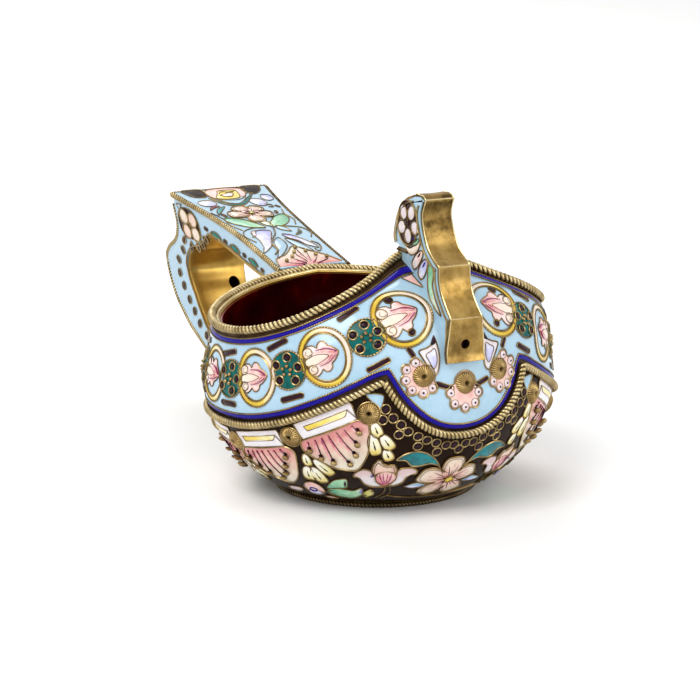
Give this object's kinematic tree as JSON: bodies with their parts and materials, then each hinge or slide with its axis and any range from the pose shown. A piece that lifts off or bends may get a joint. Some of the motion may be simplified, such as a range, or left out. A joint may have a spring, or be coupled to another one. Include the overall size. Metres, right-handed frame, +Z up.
{
  "type": "kovsh drinking bowl",
  "caption": "Small round drinking bowl on a wire foot, with a raised prow that carries a hollow fin, a hollow box handle with a finger loop, and filigree enamel all round.",
  "frame": {"origin": "on the table, on the flat base plate under the middle of the bowl's widest line", "axes": "+X from the handle to the prow, +Y to the bowl's left seen from the handle, +Z up"},
  "size_m": [0.1178, 0.0714, 0.0612],
  "materials": {
    "gilt": "satin, silver-gilt",
    "dark_gilt": "satin, tarnished silver-gilt",
    "ruby_enamel": "gloss, fired translucent enamel over metal",
    "sky_enamel": "gloss, fired opaque enamel",
    "cobalt_enamel": "gloss, fired opaque enamel",
    "dark_enamel": "gloss, fired opaque enamel",
    "teal_enamel": "gloss, fired opaque enamel",
    "pink_enamel": "gloss, fired opaque enamel"
  },
  "bodies": {
    "root": {"bowl_shell": "gilt", "rim_wire": "gilt", "band_wire": "gilt", "lobe_boss_left": "gilt", "lobe_boss_middle": "gilt", "lobe_boss_right": "gilt", "ringlet_chain": "gilt", "handle_panel_left": "gilt", "handle_panel_right": "gilt", "handle_top_wire_left": "gilt", "handle_top_wire_right": "gilt", "handle_back_wire_left": "gilt", "handle_back_wire_right": "gilt", "handle_top_plate": "gilt", "handle_lining": "gilt", "handle_back_strip": "gilt", "handle_end_wire": "gilt", "prow_strip": "gilt", "prow_rear_strip": "gilt", "prow_plate_left": "gilt", "prow_plate_right": "gilt", "foot_wire": "dark_gilt", "bowl_lining": "ruby_enamel", "band_enamel": "sky_enamel", "handle_enamel_left": "sky_enamel", "handle_enamel_right": "sky_enamel", "handle_top_enamel": "sky_enamel", "prow_enamel_left": "sky_enamel", "prow_enamel_right": "sky_enamel", "rim_border": "cobalt_enamel", "wire_border": "cobalt_enamel", "lower_enamel": "dark_enamel", "band_frieze_left": "teal_enamel", "band_frieze_right": "teal_enamel", "lobe_leaf_left": "teal_enamel", "lobe_leaf_right": "teal_enamel", "shell_frieze_left": "pink_enamel", "shell_frieze_right": "pink_enamel", "lobe_flower": "pink_enamel"}
  },
  "joints": []
}
